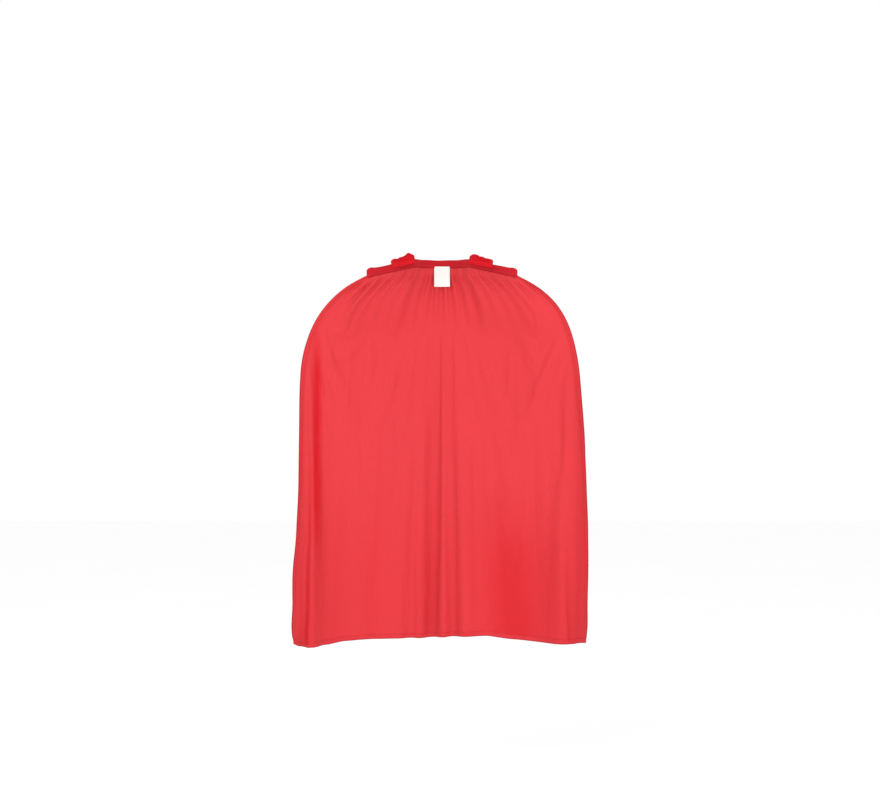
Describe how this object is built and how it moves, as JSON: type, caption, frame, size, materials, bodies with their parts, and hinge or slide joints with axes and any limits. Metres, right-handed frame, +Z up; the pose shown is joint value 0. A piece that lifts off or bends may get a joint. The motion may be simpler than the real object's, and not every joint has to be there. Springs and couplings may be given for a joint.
{
  "type": "superhero cape",
  "caption": "Child's hip-length costume cape: a gathered cloth panel with turned hems, hung from a bound neckline and fastened by peel-off tabs over the shoulders.",
  "frame": {"origin": "middle of the neck opening, level with the top of the shoulders", "axes": "+Z up; the wearer faces -Y, so +Y is behind the wearer; +X is the wearer's left"},
  "size_m": [0.513, 0.1652, 0.6701],
  "materials": {
    "polyester": "thin plain-weave polyester, semi-matt with a faint sheen, slightly see-through",
    "turned_hem": "the same cloth, turned double and pressed flat",
    "binding": "folded woven tape, matt",
    "lining": "woven lining, matt",
    "interfacing": "bonded felt, matt",
    "hook_tape": "woven nylon tape with hooks, matt",
    "thread": "twisted polyester sewing thread",
    "label": "satin ribbon, blank"
  },
  "bodies": {
    "neck_yoke": {"neck_binding": "binding", "neck_binding_stitching": "thread"},
    "cape_skirt": {"cape_panel": "polyester", "bottom_hem": "turned_hem", "bottom_hem_stitching": "thread", "left_side_hem": "turned_hem", "left_side_hem_stitching": "thread", "right_side_hem": "turned_hem", "right_side_hem_stitching": "thread", "care_label": "label"},
    "left_tab": {"left_shoulder_tab": "polyester", "left_tab_interfacing": "interfacing", "left_tab_lining": "lining", "left_hook_tape": "hook_tape", "left_tab_stitching": "thread"},
    "right_tab": {"right_shoulder_tab": "polyester", "right_tab_interfacing": "interfacing", "right_tab_lining": "lining", "right_hook_tape": "hook_tape", "right_tab_stitching": "thread"}
  },
  "joints": [
    {"name": "cape_swing", "type": "hinge", "parent": "neck_yoke", "child": "cape_skirt", "pos_m": [0, 0.06816, -0.01636], "axis": [1, 0, 0], "range_deg": [0, 60]},
    {"name": "left_tab_peel", "type": "hinge", "parent": "neck_yoke", "child": "left_tab", "pos_m": [0.06799, 0.02666, -0.00962], "axis": [-0.9781, 0, 0.2079], "range_deg": [0, 110]},
    {"name": "right_tab_peel", "type": "hinge", "parent": "neck_yoke", "child": "right_tab", "pos_m": [-0.06799, 0.02666, -0.00962], "axis": [-0.9781, 0, -0.2079], "range_deg": [0, 110]}
  ]
}
